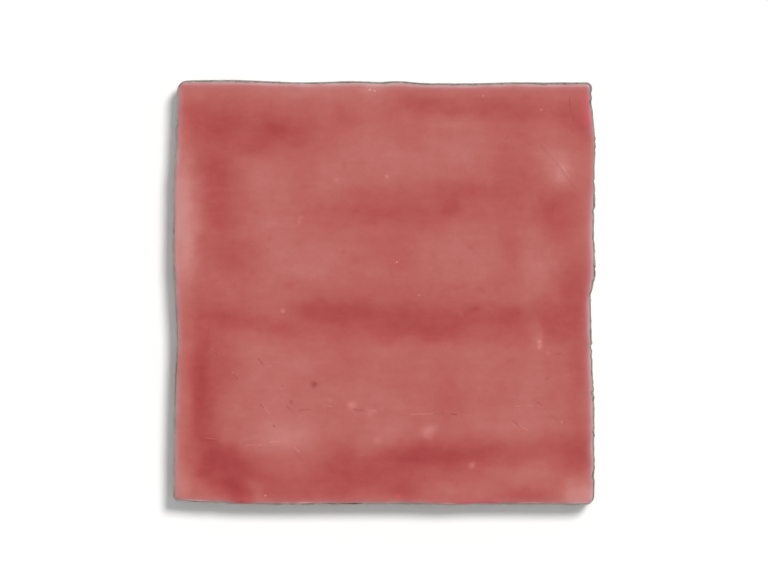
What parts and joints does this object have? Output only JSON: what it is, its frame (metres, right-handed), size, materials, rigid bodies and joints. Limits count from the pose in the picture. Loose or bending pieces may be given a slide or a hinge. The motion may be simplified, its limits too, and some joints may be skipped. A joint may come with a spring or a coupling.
{
  "type": "ceramic wall tile",
  "caption": "Square hand-made wall tile, coral red glaze pooled in shallow hollows, wavy bare-clay edges and a flat slotted back for adhesive.",
  "frame": {"origin": "middle of the flat back, on the plane that the tile rests on", "axes": "+Z out of the glazed face, +Y towards the top of the tile as it hangs on a wall, +X to the right as one looks at the face"},
  "size_m": [0.1308, 0.1316, 0.01],
  "materials": {
    "glazed_clay": "gloss"
  },
  "bodies": {
    "root": {"tile": "glazed_clay"}
  },
  "joints": []
}
